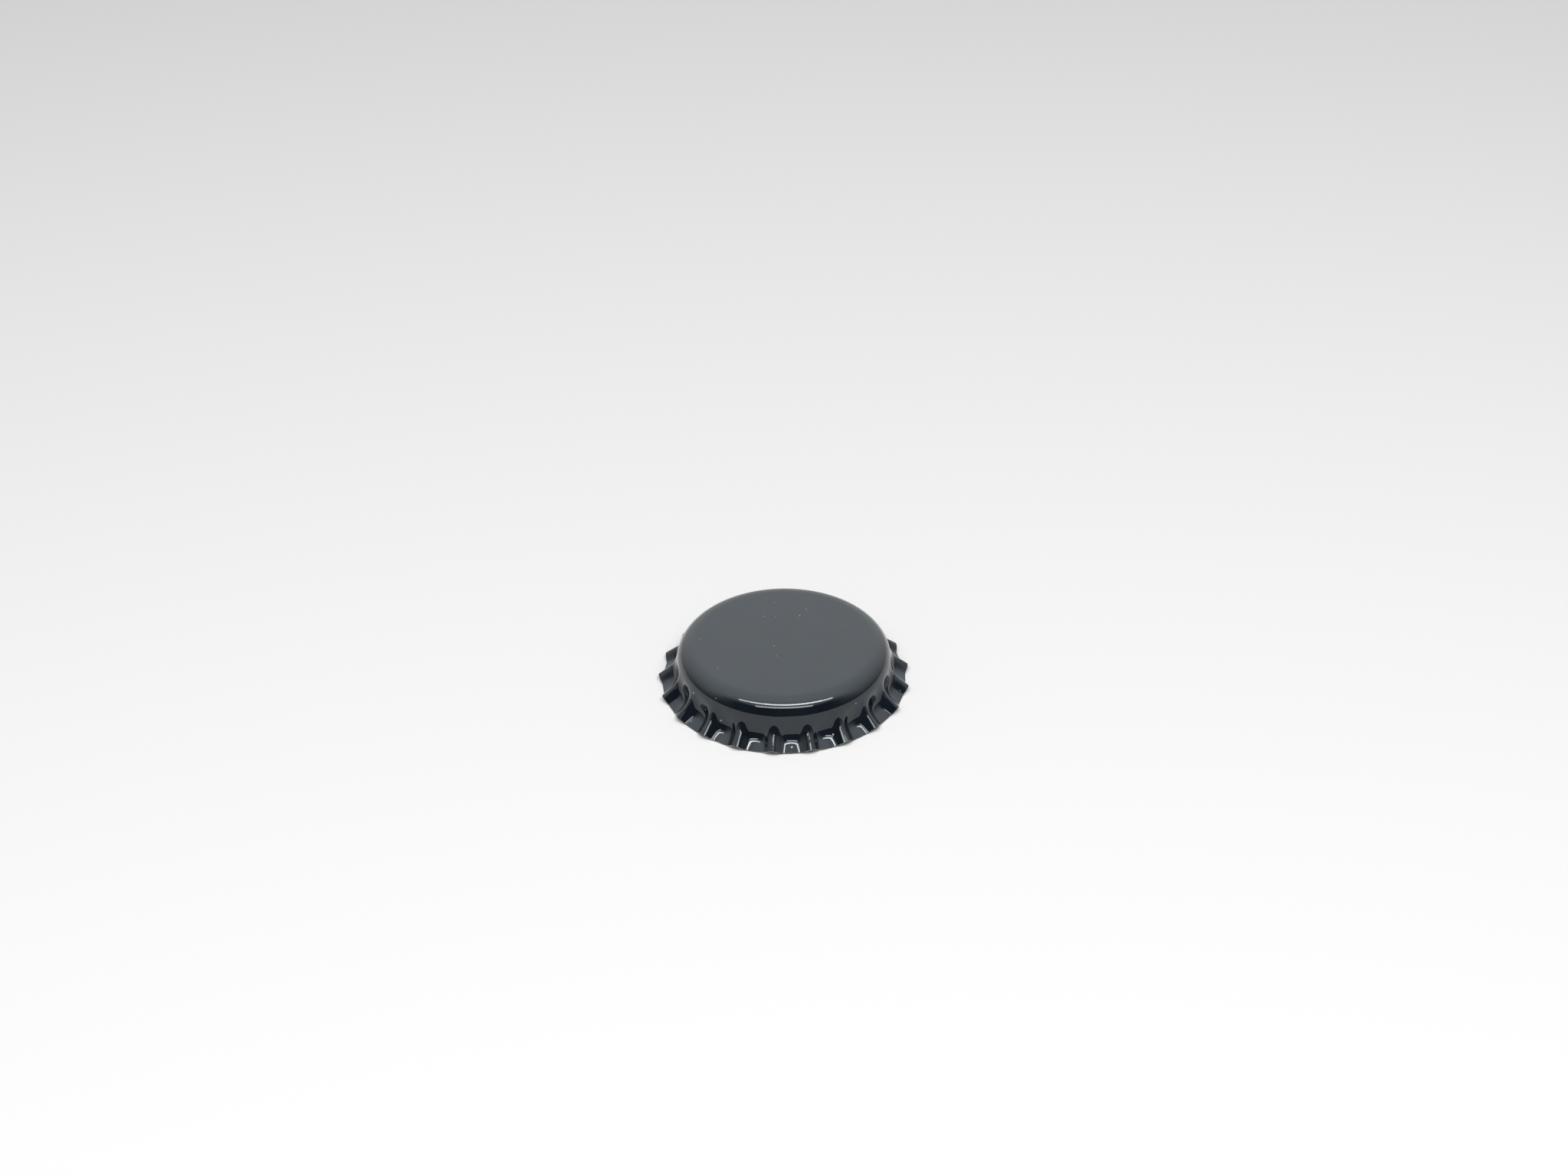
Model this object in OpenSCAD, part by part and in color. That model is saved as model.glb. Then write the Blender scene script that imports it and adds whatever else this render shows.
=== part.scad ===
// Pry-off bottle cap of the 26 mm size, as it comes from the press and before
// it is crimped onto a bottle. One round of lacquered sheet steel is drawn
// into a shallow cup, and its skirt is folded into flutes that flare out to
// the cut edge. A soft liner is moulded inside the panel.
// Millimetres, +Z up. The cap stands on its cut edge at z = 0, and a flute's
// crest points along -Y.

/* [Cup] */
// Height from the surface that the cap stands on to the top of its panel
cap_h = 6.0; // [5.8:0.05:6.6]
// Inside diameter of the wall, which slips over the bottle's mouth
bore_d = 26.75; // [24:0.05:30]
// Thickness of the lacquered sheet
sheet_t = 0.235; // [0.18:0.005:0.28]
// Outside radius of the shoulder between the panel and the wall
shoulder_r = 2.45; // [2:0.05:2.8]

/* [Flutes] */
// Number of flutes round the skirt
flute_count = 21; // [19:1:23]
// How far the flute tips stand out from the wall
tip_reach = 2.44; // [2.2:0.02:2.8]
// Height of the flute tips above the surface that the cap stands on
tip_lift = 0.65; // [0.3:0.05:1]
// Lean of a flute's crest at the cut edge, in degrees from vertical
crest_lean = 50; // [46:1:54]
// Draft of a flute's crest where it leaves the shoulder, in degrees from vertical
crest_draft = 17.5; // [10:0.5:20]
// Radius of the bend that turns a crest out to its lean
crest_bend_r = 2.6; // [1.8:0.1:3]
// Half width of a flute's round-backed rib
rib_half_w = 1.32; // [1.2:0.02:1.5]
// How steeply the fold along a crest falls away
fold_slope = 0.15; // [0.1:0.01:0.3]
// Outside radius of the fold along a crest
fold_r = 0.3; // [0.2:0.02:0.5]
// How round the valleys are, as a share of the ribs' height
valley_sag = 0.2; // [0.1:0.05:0.5]
// Length over which a flank eases into the valley beside it
flank_ease = 0.25; // [0.15:0.01:0.4]

/* [Foot] */
// How far the edge of the valleys stands out from the wall
foot_reach = 1.9; // [1.7:0.02:2.1]
// Lean of the valleys' foot, in degrees from vertical
foot_lean = 66; // [62:1:76]
// Radius of the bend between the wall and the foot
foot_bend_r = 1.5; // [1.2:0.05:1.8]

/* [Liner] */
// Thickness of the liner's web across the panel
web_t = 0.2; // [0.15:0.05:0.5]
// Thickness of the liner at its sealing bead
bead_t = 1.1; // [0.8:0.05:1.4]
// Width of the sealing bead where it meets the web
bead_w = 2.6; // [2.2:0.1:3.6]
// Gap between the liner's rim and the shoulder inside the cap
rim_gap = 0.05; // [0.03:0.01:0.1]

/* [Colours] */
// Lacquer on the steel
lacquer_colour = "#1c2125"; // [#1c2125, #17191b, #20262b]
// Sealing compound
liner_colour = "#d9dad6"; // [#d9dad6, #e6e6e2, #c9ccc8]

/* [Hidden] */

bore_r = bore_d / 2;
wall_r = bore_r + sheet_t;
panel_under_z = cap_h - sheet_t;
inner_shoulder_r = shoulder_r - sheet_t;

// Centre of the shoulder's arcs, as [radius, height]
shoulder_c = [wall_r - shoulder_r, cap_h - shoulder_r];

// The punch takes this much off the inside where the wall lies against it, and
// less where a flute lifts the sheet, down to nothing at this lift
punch_trim = 0.02;
punch_lift = 0.1;
// The skirt's start is sunk this much into the cup's sheet
skirt_sink = 0.01;
// The cup and the skirt reach this far up the shoulder from the place where
// the crests leave it, in degrees
cup_end_turn = 6;
skirt_start_turn = 10;
// How far a cutter passes the faces that it cuts
clear = 1;

// Grid of the skirt: steps down its length, and columns from a crest to the
// middle of a valley, set closer together towards the crest
skirt_steps = 11;
half_columns = 5;
column_ease = 1.35;

half_pitch = 180 / flute_count;
round_fn = 210;
profile_fn = 96;
// Step along the surface over which its direction is taken
step = 0.01;

function degrees(length, radius) = length / radius * 180 / PI;
function arc_length(angle, radius) = angle * PI / 180 * radius;

// A skirt line runs down the shoulder's arc, leaves it as a straight wall at
// a draft from vertical, turns outwards through a bend, and ends in a
// straight stretch that leans more. It is kept as [draft, bend radius, lean,
// and the lengths of its arc, its wall, its bend and its straight end].
function skirt_line(draft, bend_r, lean, end) =
    let (
        leave = shoulder_c + shoulder_r * [cos(draft), sin(draft)],
        bend = bend_r * [cos(draft) - cos(lean), sin(draft) - sin(lean)],
        rest = end - leave - bend,
        wall = -(rest * [cos(lean), sin(lean)]) / sin(lean - draft),
        straight = rest * [cos(draft), sin(draft)] / sin(lean - draft)
    )
    [draft, bend_r, lean, arc_length(skirt_start_a - draft, shoulder_r), max(wall, 0),
        arc_length(lean - draft, bend_r), straight];

function line_length(line) = line[3] + line[4] + line[5] + line[6];

// Point [radius, height] at a length d down a skirt line
function line_point(line, d) =
    let (
        a = line[0],
        bend_r = line[1],
        lean = line[2],
        leave = shoulder_c + shoulder_r * [cos(a), sin(a)],
        on_arc = skirt_start_a - degrees(d, shoulder_r),
        on_wall = d - line[3],
        on_bend = on_wall - line[4],
        lean_here = a + degrees(min(on_bend, line[5]), bend_r),
        on_end = on_bend - line[5],
        down_wall = [sin(a), -cos(a)]
    )
    on_wall < 0 ? shoulder_c + shoulder_r * [cos(on_arc), sin(on_arc)] :
    on_bend < 0 ? leave + on_wall * down_wall :
    leave + line[4] * down_wall
        + bend_r * [cos(a) - cos(lean_here), sin(a) - sin(lean_here)]
        + max(on_end, 0) * [sin(lean), -cos(lean)];

// Lines on the outside of the sheet, along a crest and along a valley. Each
// ends where the cut edge's lower corner has its height.
crest_end = [wall_r + tip_reach, tip_lift + sheet_t * sin(crest_lean)];
valley_end = [wall_r + foot_reach, sheet_t * sin(foot_lean)];

// The drawn cup turns into the fluted skirt a little above the place where
// the crests leave the shoulder, and the skirt's sheet starts inside the cup's
cup_end_a = crest_draft + cup_end_turn;
skirt_start_a = crest_draft + skirt_start_turn;
cup_end_z = shoulder_c[1] + shoulder_r * sin(cup_end_a);

crest_line = skirt_line(crest_draft, crest_bend_r, crest_lean, crest_end);
valley_line = skirt_line(0, foot_bend_r, foot_lean, valley_end);
foot_start_s = (valley_line[3] + valley_line[4]) / line_length(valley_line);

// 0 below -ease, x above ease, and a smooth curve between
function eased(x, ease) =
    x < -ease ? 0 : x > ease ? x : pow(x + ease, 2) / (4 * ease);

// Height of a rib at a distance t beside its crest: a rounded back, with a
// soft fold along the top
function rib(t, height) =
    let (a = fold_r * fold_slope)
    height * (1 - pow(t / rib_half_w, 2)) - fold_slope * (sqrt(t * t + a * a) - a);

// Lift of the sheet above the valley line, where each rib stands in a trough
// that is rounded from side to side
function lifted(t, u, height) =
    let (trough = valley_sag * height * pow(cos(u * flute_count / 2), 2))
    trough + eased(rib(t, height) - trough, flank_ease);

// Point on the skirt's outside at a share s of its length and an angle u from
// the crest, as [radius, height]
function skirt_point(s, u) =
    let (
        valley = line_point(valley_line, s * line_length(valley_line)),
        crest = line_point(crest_line, s * line_length(crest_line)),
        height = norm(crest - valley),
        t = crest[0] * u * PI / 180,
        w = lifted(t, u, height) / lifted(0, 0, height)
    )
    valley + w * (crest - valley);

function in_space(p, angle) = [p[0] * sin(angle), -p[0] * cos(angle), p[1]];
function unit(v) = v / norm(v);

// Outward direction of the skirt's surface
function skirt_normal(s, u) =
    let (
        ds = step / line_length(valley_line),
        du = degrees(step, wall_r),
        down = in_space(skirt_point(s + ds, u), u) - in_space(skirt_point(s - ds, u), u),
        along = in_space(skirt_point(s, u + du), u + du) - in_space(skirt_point(s, u - du), u - du)
    )
    unit(cross(down, along));

// How far a point stands off the drawn cup's outside
function cup_lift(p) =
    p[1] > shoulder_c[1] ? norm(p - shoulder_c) - shoulder_r : p[0] - wall_r;

// Thickness to build at a point: the sheet's, with the punch's allowance
// where the wall lies against the punch
function built_thickness(s, p) =
    s > foot_start_s ? sheet_t : sheet_t + punch_trim * max(0, 1 - cup_lift(p) / punch_lift);

function outside_point(s, u) =
    in_space(skirt_point(s, u), u) - (s > 0 ? 0 : skirt_sink) * skirt_normal(s, u);
function inside_point(s, u) =
    in_space(skirt_point(s, u), u) - built_thickness(s, skirt_point(s, u)) * skirt_normal(s, u);

function turned(p, angle) =
    [p[0] * cos(angle) - p[1] * sin(angle), p[0] * sin(angle) + p[1] * cos(angle), p[2]];

// The fluted skirt as a sheet: one flute's grid, repeated round the cap
module skirt() {
    shares = [for (j = [0:skirt_steps]) j / skirt_steps];
    angles = [for (i = [1 - half_columns:half_columns])
        half_pitch * sign(i) * pow(abs(i) / half_columns, column_ease)];
    outside = [for (s = shares) [for (u = angles) outside_point(s, u)]];
    inside = [for (s = shares) [for (u = angles) inside_point(s, u)]];
    columns = len(angles) * flute_count;
    rows = len(shares);
    points = [for (side = [outside, inside]) for (row = side)
        for (k = [0:flute_count - 1]) for (p = row) turned(p, 2 * half_pitch * k)];
    function at(side, j, i) = (side * rows + j) * columns + i % columns;
    faces = [for (i = [0:columns - 1]) each [
        for (j = [0:rows - 2]) each [
            [at(0, j, i), at(0, j, i + 1), at(0, j + 1, i + 1)],
            [at(0, j, i), at(0, j + 1, i + 1), at(0, j + 1, i)],
            [at(1, j, i), at(1, j + 1, i + 1), at(1, j, i + 1)],
            [at(1, j, i), at(1, j + 1, i), at(1, j + 1, i + 1)]
        ],
        [at(0, 0, i), at(1, 0, i + 1), at(0, 0, i + 1)],
        [at(0, 0, i), at(1, 0, i), at(1, 0, i + 1)],
        [at(0, rows - 1, i), at(0, rows - 1, i + 1), at(1, rows - 1, i + 1)],
        [at(0, rows - 1, i), at(1, rows - 1, i + 1), at(1, rows - 1, i)]
    ]];
    polyhedron(points, faces, convexity = 10);
}

// Half profile with a rounded upper corner: out to radius r, up to height
// top, and down to height low
module rounded_profile(r, top, low, corner_r) {
    corner_c = [r - corner_r, top - corner_r];
    translate([0, low]) square([corner_c[0], top - low]);
    intersection() {
        translate(corner_c) circle(corner_r, $fn = profile_fn);
        translate([0, max(low, corner_c[1])]) square([r, top]);
    }
    if (low < corner_c[1]) translate([0, low]) square([r, corner_c[1] - low]);
}

// What the drawing punch fills: the inside of the panel, shoulder and wall
module punch() {
    rotate_extrude($fn = round_fn)
        rounded_profile(bore_r, panel_under_z, -clear, inner_shoulder_r);
}

// The drawn cup above the flutes, still solid
module drawn_cup() {
    rotate_extrude($fn = round_fn)
        rounded_profile(wall_r, cap_h, cup_end_z, shoulder_r);
}

module cap_shell() {
    color(lacquer_colour) difference() {
        union() {
            drawn_cup();
            skirt();
        }
        punch();
    }
}

// The liner seats flat on the panel's underside. Its rim follows the shoulder
// inside the cap, and a rounded bead along it takes the bottle's lip.
module sealing_liner() {
    rim_r = bore_r - rim_gap;
    bead_z = panel_under_z - bead_t;
    web_r = rim_r - bead_w;
    bead_r = bead_t - web_t;
    color(liner_colour) rotate_extrude($fn = round_fn) difference() {
        rounded_profile(rim_r, panel_under_z, bead_z, inner_shoulder_r);
        translate([0, bead_z - clear]) square([web_r, bead_r + clear]);
        translate([web_r, bead_z - clear]) difference() {
            square([bead_r, bead_r + clear]);
            translate([bead_r, bead_r + clear]) circle(bead_r, $fn = profile_fn);
        }
    }
}

cap_shell();
sealing_liner();
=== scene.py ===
"""Dresses the packed bottle cap: a lacquered steel cap, its sealing liner, and a small studio."""

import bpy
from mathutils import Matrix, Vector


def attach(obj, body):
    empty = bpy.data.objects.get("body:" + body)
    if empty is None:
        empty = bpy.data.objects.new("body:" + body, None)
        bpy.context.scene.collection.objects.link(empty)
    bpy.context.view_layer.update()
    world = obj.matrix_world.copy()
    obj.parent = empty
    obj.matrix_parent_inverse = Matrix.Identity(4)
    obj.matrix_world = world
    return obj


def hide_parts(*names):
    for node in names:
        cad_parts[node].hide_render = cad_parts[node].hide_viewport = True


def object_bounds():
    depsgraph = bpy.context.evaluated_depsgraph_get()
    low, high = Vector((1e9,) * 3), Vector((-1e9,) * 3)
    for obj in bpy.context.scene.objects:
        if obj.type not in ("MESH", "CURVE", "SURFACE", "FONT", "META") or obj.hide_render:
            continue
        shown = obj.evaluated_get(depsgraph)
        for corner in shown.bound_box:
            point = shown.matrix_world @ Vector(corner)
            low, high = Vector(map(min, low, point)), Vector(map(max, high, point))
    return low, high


bl_info = {
    "name": "Pry-off Bottle Cap",
    "version": (1, 0, 0),
    "blender": (4, 5, 0),
    "location": "View3D > Sidebar > Bottle Cap",
    "description": "Builds a fluted steel bottle cap with its liner and a studio to show it in",
    "category": "Add Mesh",
}

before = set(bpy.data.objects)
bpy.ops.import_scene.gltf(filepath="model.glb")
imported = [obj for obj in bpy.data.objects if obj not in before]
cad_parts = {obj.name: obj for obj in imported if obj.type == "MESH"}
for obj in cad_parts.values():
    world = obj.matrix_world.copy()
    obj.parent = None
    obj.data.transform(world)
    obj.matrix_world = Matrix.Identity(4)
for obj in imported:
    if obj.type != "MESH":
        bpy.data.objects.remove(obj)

import math

import bmesh
import bpy
from bpy.props import FloatProperty, FloatVectorProperty, IntProperty, PointerProperty
from mathutils import Matrix, Vector

CAD_LOW, CAD_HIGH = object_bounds()
MM = 0.001
FLUTES = 21


# ---------------------------------------------------------------- settings


def length(name, description, default):
    return FloatProperty(name=name, description=description, default=default, min=0.0,
                         subtype="DISTANCE", unit="LENGTH", precision=5)


def angle(name, description, degrees):
    return FloatProperty(name=name, description=description, default=math.radians(degrees),
                         subtype="ANGLE", unit="ROTATION")


def amount(name, description, default):
    return FloatProperty(name=name, description=description, default=default, min=0.0)


def colour(name, description, default):
    return FloatVectorProperty(name=name, description=description, default=default,
                               subtype="COLOR", min=0.0, max=1.0, size=3)


class CapSizes(bpy.types.PropertyGroup):
    """Sizes of the pressed cap."""

    height: length("Height", "From the surface under the cap to its panel", CAD_HIGH.z)
    bore: length("Bore", "Inside diameter of the wall", 26.75 * MM)
    sheet: length("Sheet", "Thickness of the lacquered sheet", 0.235 * MM)
    shoulder: length("Shoulder", "Outside radius between panel and wall", 2.45 * MM)
    flutes: IntProperty(name="Flutes", description="Number of flutes round the skirt",
                        default=FLUTES, min=19, max=23)
    tip_reach: length("Tip reach", "How far the flute tips stand out from the wall", 2.44 * MM)
    tip_lift: length("Tip lift", "Height of the flute tips above the ground", 0.65 * MM)
    crest_lean: angle("Crest lean", "Lean of a crest at the cut edge, from vertical", 50)
    crest_draft: angle("Crest draft", "Draft of a crest where it leaves the shoulder", 17.5)
    crest_bend: length("Crest bend", "Radius of the bend that turns a crest out", 2.6 * MM)
    rib: length("Rib", "Half width of a flute's round-backed rib", 1.32 * MM)
    fold_slope: amount("Fold slope", "How steeply the fold along a crest falls away", 0.15)
    fold: length("Fold", "Outside radius of the fold along a crest", 0.3 * MM)
    valley_sag: amount("Valley sag", "How round the valleys are, of the ribs' height", 0.42)
    flank_ease: length("Flank ease", "Length over which a flank eases into a valley", 0.42 * MM)
    valley_draft: angle("Valley draft", "Draft of the wall in the valleys", 2)
    foot_reach: length("Foot reach", "How far the valleys' edge stands out", 1.9 * MM)
    foot_lean: angle("Foot lean", "Lean of the valleys' foot, from vertical", 58)
    foot_bend: length("Foot bend", "Radius of the bend between wall and foot", 1.8 * MM)
    burr: length("Edge rounding", "Rounding along the cut edge", 0.03 * MM)


class LinerSizes(bpy.types.PropertyGroup):
    """Sizes of the sealing liner."""

    web: length("Web", "Thickness across the panel", 0.2 * MM)
    bead: length("Bead", "Thickness at the sealing bead", 1.1 * MM)
    bead_width: length("Bead width", "Width of the bead where it meets the web", 2.6 * MM)
    rim_gap: length("Rim gap", "Space between the liner's rim and the shoulder", 0.05 * MM)


class Finishes(bpy.types.PropertyGroup):
    """Colours of the finishes."""

    lacquer: colour("Lacquer", "Black gloss lacquer on the outside", (0.0062, 0.0092, 0.0140))
    steel: colour("Steel", "Bare sheet where it is cut or nicked", (0.70, 0.66, 0.62))
    varnish: colour("Varnish", "Clear varnished tinplate inside", (0.66, 0.62, 0.54))
    compound: colour("Compound", "Sealing compound", (0.68, 0.69, 0.66))
    # Also the colour of the nicks, and of the worn lines on the two front crests, which are partly
    # a painted highlight.
    dust: colour("Dust", "Dust and grit on the lacquer", (0.50, 0.53, 0.50))


class Studio(bpy.types.PropertyGroup):
    """The floor, the lamps and the camera."""

    floor: colour("Floor", "Colour of the floor and the backdrop", (0.955, 0.96, 0.955))
    dome: amount("Dome", "Strength of the soft light all round", 0.29)
    lens: FloatProperty(name="Lens", description="Focal length of the camera, in millimetres",
                        default=61.68, min=20.0)
    distance: length("Distance", "From the middle of the cap to the camera", 342.2 * MM)
    azimuth: angle("Azimuth", "Where the camera stands round the cap", 5.33)
    elevation: angle("Elevation", "How high the camera stands", 34.53)
    roll: angle("Roll", "How far the camera is tilted sideways", 0.4826)


# ------------------------------------------------------- mesh and materials


def new_piece(name, bm, materials):
    """Makes an object of a bmesh, smooth, at the origin."""
    mesh = bpy.data.meshes.new(name)
    bm.to_mesh(mesh)
    bm.free()
    mesh.shade_smooth()
    for material in materials:
        mesh.materials.append(material)
    piece = bpy.data.objects.new(name, mesh)
    bpy.context.scene.collection.objects.link(piece)
    return piece


def spun(profile, steps, shares=None):
    """A bmesh of a half profile of (radius, height) points, spun round the Z axis from -Y."""
    bm = bmesh.new()
    layer = bm.verts.layers.float.new("share")
    verts = [bm.verts.new((0.0, -r, z)) for r, z in profile]
    for vert, share in zip(verts, shares or [0.0] * len(verts)):
        vert[layer] = share
    edges = [bm.edges.new(pair) for pair in zip(verts, verts[1:])]
    bmesh.ops.spin(bm, geom=verts + edges, cent=(0, 0, 0), axis=(0, 0, 1), dvec=(0, 0, 0),
                   angle=math.tau, steps=steps, use_merge=True, use_duplicate=False)
    bmesh.ops.remove_doubles(bm, verts=bm.verts, dist=1e-7)
    bmesh.ops.recalc_face_normals(bm, faces=bm.faces)
    return bm


def arc(centre, radius, start, end, steps):
    """Points (radius, height) along an arc, angles in radians."""
    turns = (start + (end - start) * i / steps for i in range(steps + 1))
    return [(centre.x + radius * math.cos(t), centre.y + radius * math.sin(t)) for t in turns]


class Value:
    """A number in a node tree. Python's operators on it add Math nodes."""

    def __init__(self, shader, socket):
        self.shader, self.socket = shader, socket

    def math(self, operation, *others):
        return self.shader.node("ShaderNodeMath", {"operation": operation},
                                dict(enumerate((self,) + others)))

    def __add__(self, other): return self.math("ADD", other)
    def __sub__(self, other): return self.math("SUBTRACT", other)
    def __mul__(self, other): return self.math("MULTIPLY", other)
    def __truediv__(self, other): return self.math("DIVIDE", other)
    def __pow__(self, other): return self.math("POWER", other)
    def __rsub__(self, other): return (self * -1.0) + other
    def __rtruediv__(self, other): return (self ** -1.0) * other
    def __abs__(self): return self.math("ABSOLUTE")
    __radd__, __rmul__ = __add__, __mul__

    def least(self, other): return self.math("MINIMUM", other)
    def most(self, other): return self.math("MAXIMUM", other)

    def step(self, low, high):
        """0 below low, 1 above high, and smooth between. Low may be above high."""
        return self.shader.node("ShaderNodeMapRange", {"interpolation_type": "SMOOTHSTEP"},
                                {"Value": self, "From Min": low, "From Max": high})


class Shader:
    """A material's or a world's node tree."""

    def __init__(self, owner):
        owner.use_nodes = True
        self.owner, self.tree = owner, owner.node_tree
        self.tree.nodes.clear()

    def node(self, kind, settings=None, inputs=None, out=0):
        """Adds a node with its settings, then the values or links of its inputs."""
        made = self.tree.nodes.new(kind)
        for key, setting in (settings or {}).items():
            setattr(made, key, setting)
        for key, given in (inputs or {}).items():
            socket = self.find(made.inputs, key)
            if isinstance(given, Value):
                self.tree.links.new(given.socket, socket)
            elif hasattr(socket.default_value, "__len__"):
                given = tuple(given)
                socket.default_value = given + (1.0,) * (len(socket.default_value) - len(given))
            else:
                socket.default_value = given
        return Value(self, self.find(made.outputs, out))

    @staticmethod
    def find(sockets, key):
        """A socket by its number, or an enabled one by its name or identifier."""
        if isinstance(key, int):
            return sockets[key]
        return next(s for s in sockets if s.enabled and key in (s.name, s.identifier))

    def place(self):
        """Object coordinates, in metres."""
        return self.node("ShaderNodeTexCoord", out="Object")

    def parts(self, vector):
        """The x, y and z of a vector."""
        split = self.node("ShaderNodeSeparateXYZ", inputs={0: vector})
        return [Value(self, socket) for socket in split.socket.node.outputs]

    def crest(self, x, y):
        """The distance across from the nearest flute's crest, in metres."""
        turn = x.math("ARCTAN2", y * -1.0) * (FLUTES / math.tau)
        radius = (x * x + y * y) ** 0.5
        return abs(turn - turn.math("ROUND")) * (math.tau / FLUTES) * radius

    def noise(self, vector, scale, detail):
        """Soft noise round 0.5. The scale is in cells to a metre."""
        return self.node("ShaderNodeTexNoise", {}, {"Vector": vector, "Scale": scale,
                         "Detail": detail, "Roughness": 0.5}, "Fac")

    def mix(self, factor, low, high):
        """A colour between two, each given as numbers or as a link."""
        return self.node("ShaderNodeMix", {"data_type": "RGBA"}, {"Factor_Float": factor,
                         "A_Color": low, "B_Color": high}, "Result_Color")

    def blend(self, factor, low, high):
        """A number between two."""
        return (high - low) * factor + low

    def bump(self, height, distance):
        return self.node("ShaderNodeBump", {}, {"Height": height, "Distance": distance,
                         "Strength": 1.0}, "Normal")

    def finish(self, **sockets):
        """Adds the Principled shader and the output. Underscores in names stand for spaces."""
        inputs = {name.replace("_", " "): given for name, given in sockets.items()}
        surface = self.node("ShaderNodeBsdfPrincipled", {}, inputs, "BSDF")
        output = self.tree.nodes.new("ShaderNodeOutputMaterial")
        self.tree.links.new(surface.socket, output.inputs["Surface"])
        return self.owner


def material(name):
    return Shader(bpy.data.materials.new(name))


def lacquer(colours):
    """Black gloss lacquer, with a faint texture, dust, nicks, and worn lines on the two front
    crests that are partly real rubbing and partly a painted highlight.
    """
    dust_strength, nick_strength, wear_and_highlight_strength = 0.45, 0.9, 0.5
    s = material("black_lacquer")
    place = s.place()
    x, y, z = s.parts(place)
    cloud = s.noise(place, 220.0, 3.0)
    grain = s.noise(place, 2600.0, 2.0)
    rough = s.noise(place, 6500.0, 3.0)

    # Dust lies all over, and larger nicks only below the panel's edge, each with a ragged outline.
    cells = {"Vector": place, "Scale": 450.0}
    scatter = s.node("ShaderNodeTexVoronoi", {}, cells, "Distance") + (rough - 0.5) * 0.06
    dust = scatter.step(0.05, 0.03) * dust_strength
    below_panel = z.step(5.4 * MM, 4.6 * MM)
    nicks = scatter.step(0.075, 0.04) * below_panel * nick_strength

    # Worn lines run broken down the lower part of the two front crests, the ones that face the
    # camera: partly real rubbing, partly a painted highlight along the crest.
    worn_and_highlit_line = s.crest(x, y).step(0.11 * MM, 0.04 * MM) * z.step(2.6 * MM, 1.9 * MM)
    front = y.step(-12.4 * MM, -13.4 * MM)
    right = x.step(-4.0 * MM, -1.0 * MM)
    breaks = s.noise(place, 1500.0, 3.0).step(0.36, 0.56)
    wear_and_highlight = worn_and_highlit_line * front * right * breaks * wear_and_highlight_strength

    # Dust, nicks and the front crests' worn lines all take the dust colour; the worn lines are
    # partly a painted highlight.
    marks_and_highlight = nicks.most(wear_and_highlight).most(dust)
    dark, light = ([c * share for c in colours.lacquer] for share in (0.85, 1.15))
    return s.finish(
        Base_Color=s.mix(marks_and_highlight, s.mix(cloud.step(0.3, 0.7), dark, light), colours.dust),
        Roughness=s.blend(marks_and_highlight, s.blend(cloud, 0.05, 0.08), 0.45),
        Specular_Tint=(0.88, 0.95, 1.0),
        Coat_Weight=s.blend(marks_and_highlight, 0.25, 0.0),
        Coat_Roughness=0.03,
        Normal=s.bump(grain, 0.0015 * MM),
    )


def bare_steel(colours):
    """The sheared edge: dull steel, darkened, with a few bright places."""
    s = material("sheared_steel")
    place = s.place()
    grain = s.noise(place, 9000.0, 3.0)
    bright = s.noise(place, 420.0, 3.0).step(0.5, 0.6)
    darkened = [c * 0.18 for c in colours.steel]
    return s.finish(
        Base_Color=s.mix(bright * grain.step(0.35, 0.6), darkened, colours.steel),
        Metallic=s.blend(bright, 0.45, 1.0),
        Roughness=s.blend(grain, 0.42, 0.6),
        Normal=s.bump(grain, 0.006 * MM),
    )


def varnished_tin(colours):
    """The inside of the sheet: tinplate under clear varnish, with its rolling grain."""
    s = material("varnished_tinplate")
    stretch = 0.04
    x, y, z = s.parts(s.place())
    streaks = s.node("ShaderNodeCombineXYZ", {}, {0: x * stretch, 1: y, 2: z})
    grain = s.noise(streaks, 5200.0, 3.0)
    return s.finish(
        Base_Color=s.mix(grain, [c * 0.9 for c in colours.varnish], colours.varnish),
        Metallic=1.0,
        Roughness=s.blend(grain, 0.20, 0.34),
        Normal=s.bump(grain, 0.001 * MM),
    )


def compound(colours):
    """Soft pale compound, moulded against a smooth punch."""
    s = material("sealing_compound")
    place = s.place()
    cloud = s.noise(place, 320.0, 3.0)
    grain = s.noise(place, 4200.0, 2.0)
    return s.finish(
        Base_Color=s.mix(cloud, [c * 0.93 for c in colours.compound], colours.compound),
        Roughness=s.blend(cloud, 0.42, 0.56),
        Normal=s.bump(grain, 0.003 * MM),
    )


# ------------------------------------------------------------------ the cap


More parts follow.
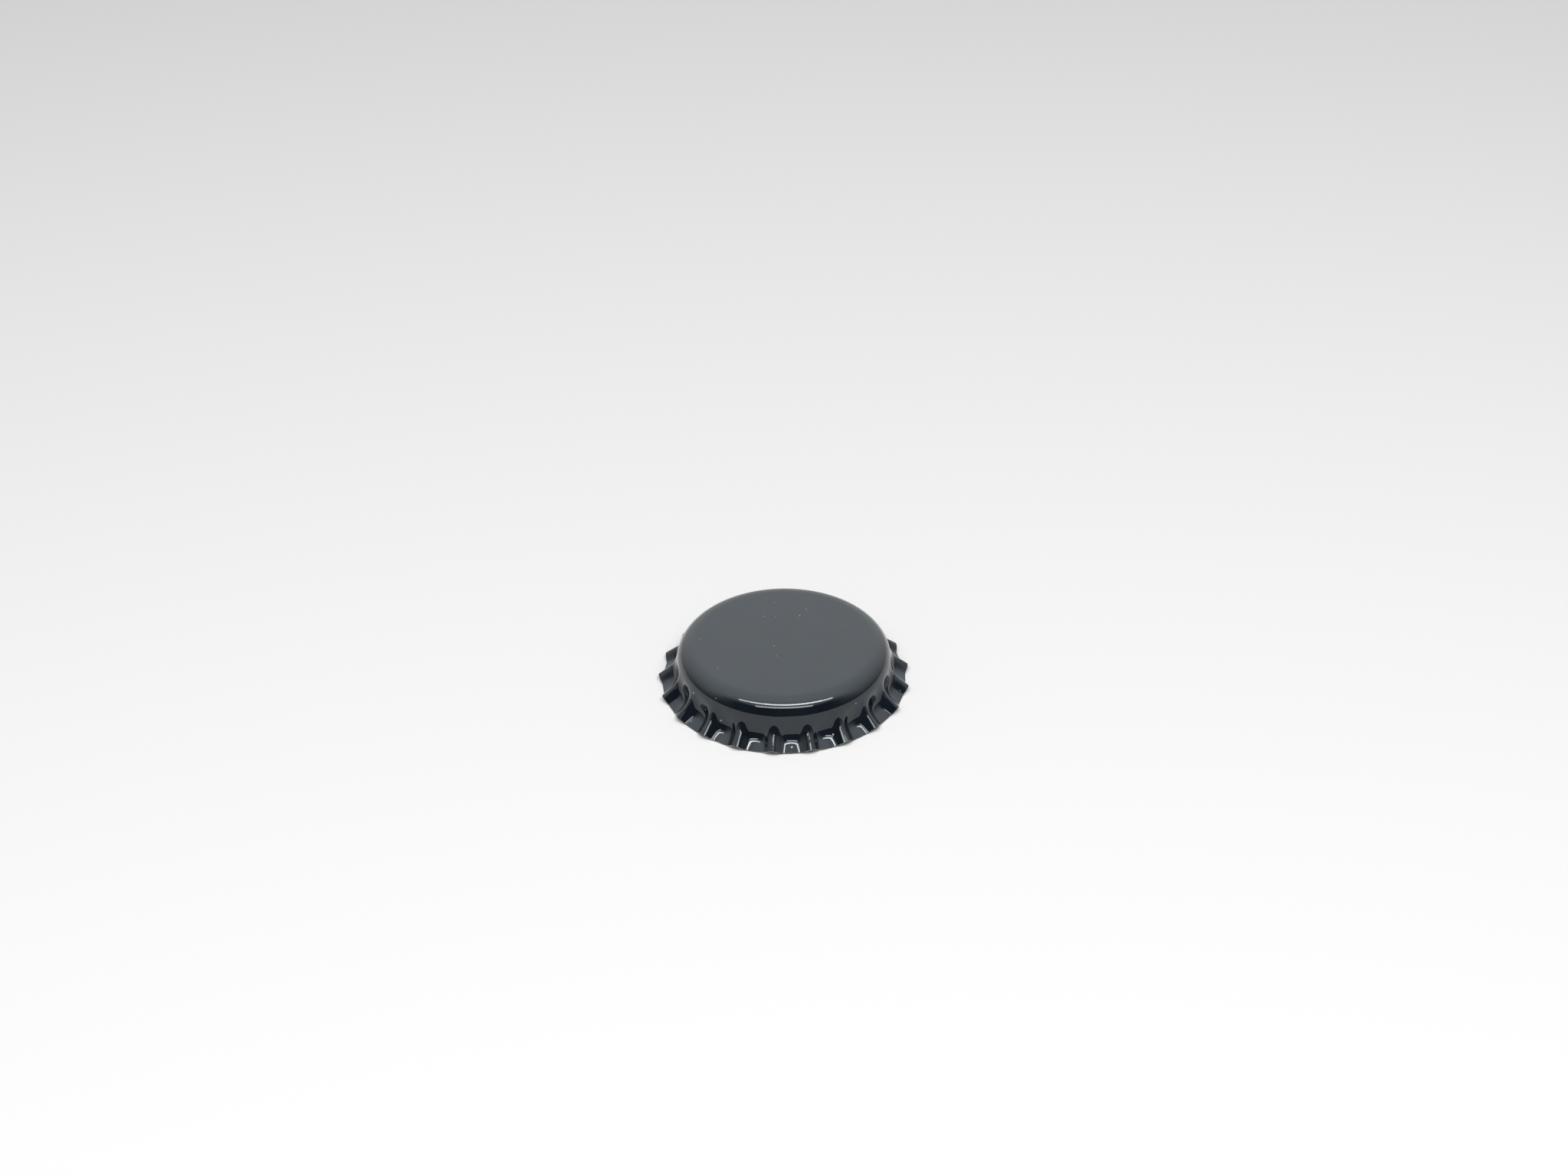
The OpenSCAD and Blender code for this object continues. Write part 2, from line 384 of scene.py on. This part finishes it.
class SkirtLine:
    """A line down the outside: along the shoulder, down a wall with some draft, through a bend,
    out straight. Points are vectors of (radius, height)."""

    def __init__(self, centre, shoulder, draft, bend, lean, end):
        self.centre, self.shoulder, self.bend = centre, shoulder, bend
        self.draft, self.lean = draft, lean
        self.leave = centre + shoulder * Vector((math.cos(draft), math.sin(draft)))
        rest = end - self.leave - self.turned(lean)
        across = math.sin(lean - draft)
        self.wall = max(-rest.dot(Vector((math.cos(lean), math.sin(lean)))) / across, 0.0)
        self.straight = rest.dot(Vector((math.cos(draft), math.sin(draft)))) / across

    def turned(self, lean):
        """The way along the bend from the draft to this lean."""
        return self.bend * Vector((math.cos(self.draft) - math.cos(lean),
                                   math.sin(self.draft) - math.sin(lean)))

    def start_at(self, start):
        """Measures the line from this angle on the shoulder."""
        self.start = start
        self.arc = self.shoulder * (start - self.draft)
        self.turning = self.bend * (self.lean - self.draft)
        self.length = self.arc + self.wall + self.turning + self.straight

    def at(self, share):
        """The point at a share of the line's length."""
        down = share * self.length - self.arc
        if down < 0:
            turn = self.start - share * self.length / self.shoulder
            return self.centre + self.shoulder * Vector((math.cos(turn), math.sin(turn)))
        wall = min(down, self.wall)
        point = self.leave + wall * Vector((math.sin(self.draft), -math.cos(self.draft)))
        down -= wall
        point += self.turned(self.draft + min(down, self.turning) / self.bend)
        over = max(down - self.turning, 0.0)
        return point + over * Vector((math.sin(self.lean), -math.cos(self.lean)))


class Flutes:
    """The fluted skirt's outside, between a line along a crest and one along a valley."""

    start_turn = math.radians(10)
    sag_top, sag_edge = 1.9, 0.5

    def __init__(self, sizes):
        self.sizes = sizes
        wall = sizes.bore / 2 + sizes.sheet
        centre = Vector((wall - sizes.shoulder, sizes.height - sizes.shoulder))
        tip = Vector((wall + sizes.tip_reach,
                      sizes.tip_lift + sizes.sheet * math.sin(sizes.crest_lean)))
        foot = Vector((wall + sizes.foot_reach, sizes.sheet * math.sin(sizes.foot_lean)))
        self.crest = SkirtLine(centre, sizes.shoulder, sizes.crest_draft, sizes.crest_bend,
                               sizes.crest_lean, tip)
        self.valley = SkirtLine(centre, sizes.shoulder, sizes.valley_draft, sizes.foot_bend,
                                sizes.foot_lean, foot)
        self.centre = centre
        self.start = sizes.crest_draft + self.start_turn
        self.crest.start_at(self.start)
        self.valley.start_at(self.start)

    def eased(self, x):
        """0 below 0 and x above it, with a smooth bend between."""
        ease = self.sizes.flank_ease
        return 0.0 if x < -ease else x if x > ease else (x + ease) ** 2 / (4 * ease)

    def lifted(self, across, turn, height, share):
        """Lift above the valley line: a round-backed rib in a trough, roundest at its top."""
        sizes = self.sizes
        fold = sizes.fold * sizes.fold_slope
        rib = height * (1 - (across / sizes.rib) ** 2)
        rib -= sizes.fold_slope * (math.hypot(across, fold) - fold)
        sag = sizes.valley_sag * (self.sag_top - (self.sag_top - self.sag_edge) * share)
        trough = sag * height * math.cos(turn * sizes.flutes / 2) ** 2
        return trough + self.eased(rib - trough)

    def point(self, share, turn):
        """(radius, height) at a share of the skirt's length and an angle from the crest."""
        valley, crest = self.valley.at(share), self.crest.at(share)
        height = (crest - valley).length
        lift = self.lifted(crest.x * turn, turn, height, share)
        lift /= self.lifted(0.0, 0.0, height, share)
        return valley.lerp(crest, lift)


class CAP_OT_shell(bpy.types.Operator):
    """Builds the lacquered steel cap with its fluted skirt"""

    bl_idname = "cap.shell"
    bl_label = "Lacquered Cap"

    columns = 36
    column_ease = 1.35
    shoulder_rows = 16
    skirt_rows = 32
    panel_rings = (0.35, 0.7, 0.9)

    def execute(self, context):
        sizes, colours = context.scene.cap_sizes, context.scene.cap_finishes
        flutes = Flutes(sizes)
        centre, top = flutes.centre, sizes.height
        profile = [(0.0, top)] + [(centre.x * ring, top) for ring in self.panel_rings]
        profile += arc(centre, sizes.shoulder, math.pi / 2, flutes.start, self.shoulder_rows)
        shares = [-1.0] * (len(profile) - 1) + [0.0]
        for row in range(1, self.skirt_rows + 1):
            shares.append(row / self.skirt_rows)
            profile.append(tuple(flutes.valley.at(shares[-1])))
        bm = spun(profile, self.columns * sizes.flutes, shares)
        self.press(bm, flutes)
        piece = new_piece("lacquered_cap", bm,
                          [lacquer(colours), bare_steel(colours), varnished_tin(colours)])
        self.thicken(piece, sizes)
        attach(piece, "root")
        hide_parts("cap_shell")
        return {"FINISHED"}

    def press(self, bm, flutes):
        """Draws the columns together at the crests and lifts the skirt into flutes."""
        layer = bm.verts.layers.float["share"]
        half = math.pi / flutes.sizes.flutes
        for vert in bm.verts:
            around = math.atan2(vert.co.x, -vert.co.y)
            crest = round(around / (2 * half)) * 2 * half
            part = (around - crest) / half
            turn = half * math.copysign(abs(part) ** self.column_ease, part)
            radius, height, share = vert.co.xy.length, vert.co.z, vert[layer]
            if share > 0:
                radius, height = flutes.point(share, turn)
            around = crest + turn
            vert.co = (radius * math.sin(around), -radius * math.cos(around), height)

    @staticmethod
    def thicken(piece, sizes):
        """Gives the sheet its thickness, inwards, and rounds the cut edge."""
        wall = piece.modifiers.new("sheet", "SOLIDIFY")
        wall.thickness, wall.offset, wall.use_even_offset = sizes.sheet, -1.0, True
        wall.material_offset_rim, wall.material_offset = 1, 2
        edge = piece.modifiers.new("cut_edge", "BEVEL")
        edge.width, edge.segments, edge.limit_method = sizes.burr, 2, "ANGLE"
        edge.angle_limit, edge.harden_normals = math.radians(55), True


class CAP_OT_liner(bpy.types.Operator):
    """Builds the sealing liner inside the panel"""

    bl_idname = "cap.liner"
    bl_label = "Sealing Liner"

    steps = 168
    arc_steps = 12

    def execute(self, context):
        cap, liner = context.scene.cap_sizes, context.scene.cap_liner
        top = cap.height - cap.sheet
        rim = cap.bore / 2 - liner.rim_gap
        corner = cap.shoulder - cap.sheet
        low = top - liner.bead
        round_in = liner.bead - liner.web
        web_end = rim - liner.bead_width
        quarter = math.pi / 2
        profile = [(0.0, top)]
        profile += arc(Vector((rim - corner, top - corner)), corner, quarter,
                       math.asin(1 - liner.bead / corner), self.arc_steps)
        profile += arc(Vector((web_end + round_in, low + round_in)), round_in, -quarter,
                       -2 * quarter, self.arc_steps)
        profile += [(web_end * 0.5, top - liner.web), (0.0, top - liner.web)]
        bm = spun(profile, self.steps)
        piece = new_piece("moulded_liner", bm, [compound(context.scene.cap_finishes)])
        piece.data.set_sharp_from_angle(angle=math.radians(40))
        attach(piece, "root")
        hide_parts("sealing_liner")
        return {"FINISHED"}


# --------------------------------------------------------------- the studio


class CAP_OT_studio(bpy.types.Operator):
    """Builds the floor, the lamps, the soft light all round and the camera"""

    bl_idname = "cap.studio"
    bl_label = "Studio"

    aim = Vector((0.0, 0.0, 3.0 * MM))
    shift = (-0.0933 * MM, -9.2704 * MM)
    lamp_height = 0.6
    fade_start, fade_end = 0.28, 0.5
    mirrored_tint = (1.0, 1.05, 1.08)
    low_glow, glow_rise, front_shade = 0.12, 1.6, 0.45
    back_glow, back_fall, faint_glow = 0.62, 0.55, 0.02

    def execute(self, context):
        studio = context.scene.cap_studio
        a = studio.azimuth
        self.front = Vector((math.sin(a), -math.cos(a), 0.0))
        self.right = Vector((math.cos(a), math.sin(a), 0.0))
        self.add_floor(studio)
        self.add_world(context.scene, studio)
        self.add_lamps()
        self.add_camera(context.scene, studio)
        view = context.scene.view_settings
        view.view_transform = "Standard"
        return {"FINISHED"}

    def add_floor(self, studio):
        """A pale floor that fades out into the backdrop."""
        s = material("pale_floor")
        x, y, _ = s.parts(s.place())
        near = ((x * x + y * y) ** 0.5).step(self.fade_end, self.fade_start)
        s.finish(Base_Color=studio.floor, Roughness=0.9, Specular_IOR_Level=0.0, Alpha=near)
        bm = bmesh.new()
        bmesh.ops.create_grid(bm, x_segments=1, y_segments=1, size=6.0)
        new_piece("floor", bm, [s.owner])

    def add_world(self, scene, studio):
        """Soft even light all round, and for reflections a room that is dark ahead."""
        scene.world = bpy.data.worlds.new("studio_world")
        s = Shader(scene.world)
        path = s.node("ShaderNodeLightPath").socket.node.outputs
        seen, glossy, through = (Value(s, path[name]) for name in
                                 ("Is Camera Ray", "Is Glossy Ray", "Is Transmission Ray"))
        x, y, z = s.parts(s.node("ShaderNodeTexCoord", out="Generated"))
        ahead = x * self.front.x + y * self.front.y
        level = (1.0 - z * z).most(0.001) ** 0.5
        unlit = (ahead / level).step(0.2, 0.66) * z.step(0.73, 0.68)
        room = z * self.glow_rise + self.low_glow
        room = room * (1.0 - ahead.step(0.0, 0.35) * self.front_shade)
        room += ahead.step(0.0, -1.0) * (self.back_glow - z * self.back_fall)
        mirrored = (glossy + through).least(1.0)
        light = s.blend(mirrored, studio.dome, room * (1.0 - unlit) + self.faint_glow)
        strength = s.blend(seen, light, 1.0)
        tint = s.mix(mirrored, studio.floor, self.mirrored_tint)
        sky = s.node("ShaderNodeBackground", {}, {"Color": tint, "Strength": strength})
        output = s.tree.nodes.new("ShaderNodeOutputWorld")
        s.tree.links.new(sky.socket, output.inputs["Surface"])

    def add_lamps(self):
        """Two strip lamps above the camera's side: a curved one, and a straight one lower down."""
        middle, out, deep = 0.03, 0.42, 0.14
        bow, step = 1.45, math.radians(7.5)
        radiances = (8.0, 11.0, 14.0, 15.5, 15.5, 14.5, 10.0)
        for place, radiance in enumerate(radiances, -(len(radiances) // 2)):
            turn = place * step
            self.add_strip("strip_high", middle + bow * math.sin(turn),
                           out - bow * (1 - math.cos(turn)), turn, bow * step, deep, radiance)
        self.add_strip("strip_low", across=0.0, out=0.80, turn=0.0, wide=1.1, deep=0.17,
                       radiance=6.5)

    def add_strip(self, name, across, out, turn, wide, deep, radiance):
        """An area lamp that faces the cap. Lengths are shares of its height over the floor."""
        high = self.lamp_height
        place = high * (self.right * across + self.front * out + Vector((0, 0, 1)))
        lamp = bpy.data.lights.new(name, "AREA")
        lamp.shape, lamp.size, lamp.size_y = "RECTANGLE", wide * high, deep * high
        lamp.energy = radiance * math.pi * lamp.size * lamp.size_y
        holder = bpy.data.objects.new(name, lamp)
        back = place.normalized()
        along = Matrix.Rotation(turn, 3, "Z") @ self.right
        along = (along - back * along.dot(back)).normalized()
        basis = Matrix((along, back.cross(along), back)).transposed()
        holder.matrix_world = Matrix.Translation(place) @ basis.to_4x4()
        holder.visible_camera = False
        bpy.context.scene.collection.objects.link(holder)

    def add_camera(self, scene, studio):
        e, r = studio.elevation, studio.roll
        back = self.front * math.cos(e) + Vector((0, 0, math.sin(e)))
        up = Vector((0, 0, math.cos(e))) - self.front * math.sin(e)
        place = self.aim + back * studio.distance - self.right * self.shift[0] - up * self.shift[1]
        across = self.right * math.cos(r) - up * math.sin(r)
        upright = self.right * math.sin(r) + up * math.cos(r)
        camera = bpy.data.cameras.new("camera")
        camera.sensor_width, camera.lens = 36.0, studio.lens
        camera.clip_start, camera.clip_end = 0.01, 20.0
        holder = bpy.data.objects.new("camera", camera)
        holder.matrix_world = (Matrix.Translation(place)
                               @ Matrix((across, upright, back)).transposed().to_4x4())
        scene.collection.objects.link(holder)
        scene.camera = holder


class CAP_PT_panel(bpy.types.Panel):
    """Lists the cap's sizes and its operators"""

    bl_label = "Bottle Cap"
    bl_idname = "CAP_PT_panel"
    bl_space_type = "VIEW_3D"
    bl_region_type = "UI"
    bl_category = "Bottle Cap"

    def draw(self, context):
        for group, operator in (("cap_sizes", "cap.shell"), ("cap_liner", "cap.liner"),
                                ("cap_finishes", None), ("cap_studio", "cap.studio")):
            settings = getattr(context.scene, group)
            box = self.layout.box()
            box.label(text=type(settings).__doc__)
            for name in settings.__annotations__:
                box.prop(settings, name)
            if operator:
                box.operator(operator)


GROUPS = {"cap_sizes": CapSizes, "cap_liner": LinerSizes, "cap_finishes": Finishes,
          "cap_studio": Studio}
CLASSES = (*GROUPS.values(), CAP_OT_shell, CAP_OT_liner, CAP_OT_studio, CAP_PT_panel)


def register():
    for cls in CLASSES:
        bpy.utils.register_class(cls)
    for name, group in GROUPS.items():
        setattr(bpy.types.Scene, name, PointerProperty(type=group))


def unregister():
    for name in GROUPS:
        delattr(bpy.types.Scene, name)
    for cls in reversed(CLASSES):
        bpy.utils.unregister_class(cls)


def main():
    register()
    bpy.ops.cap.shell()
    bpy.ops.cap.liner()
    bpy.ops.cap.studio()


if __name__ == "__main__":
    main()
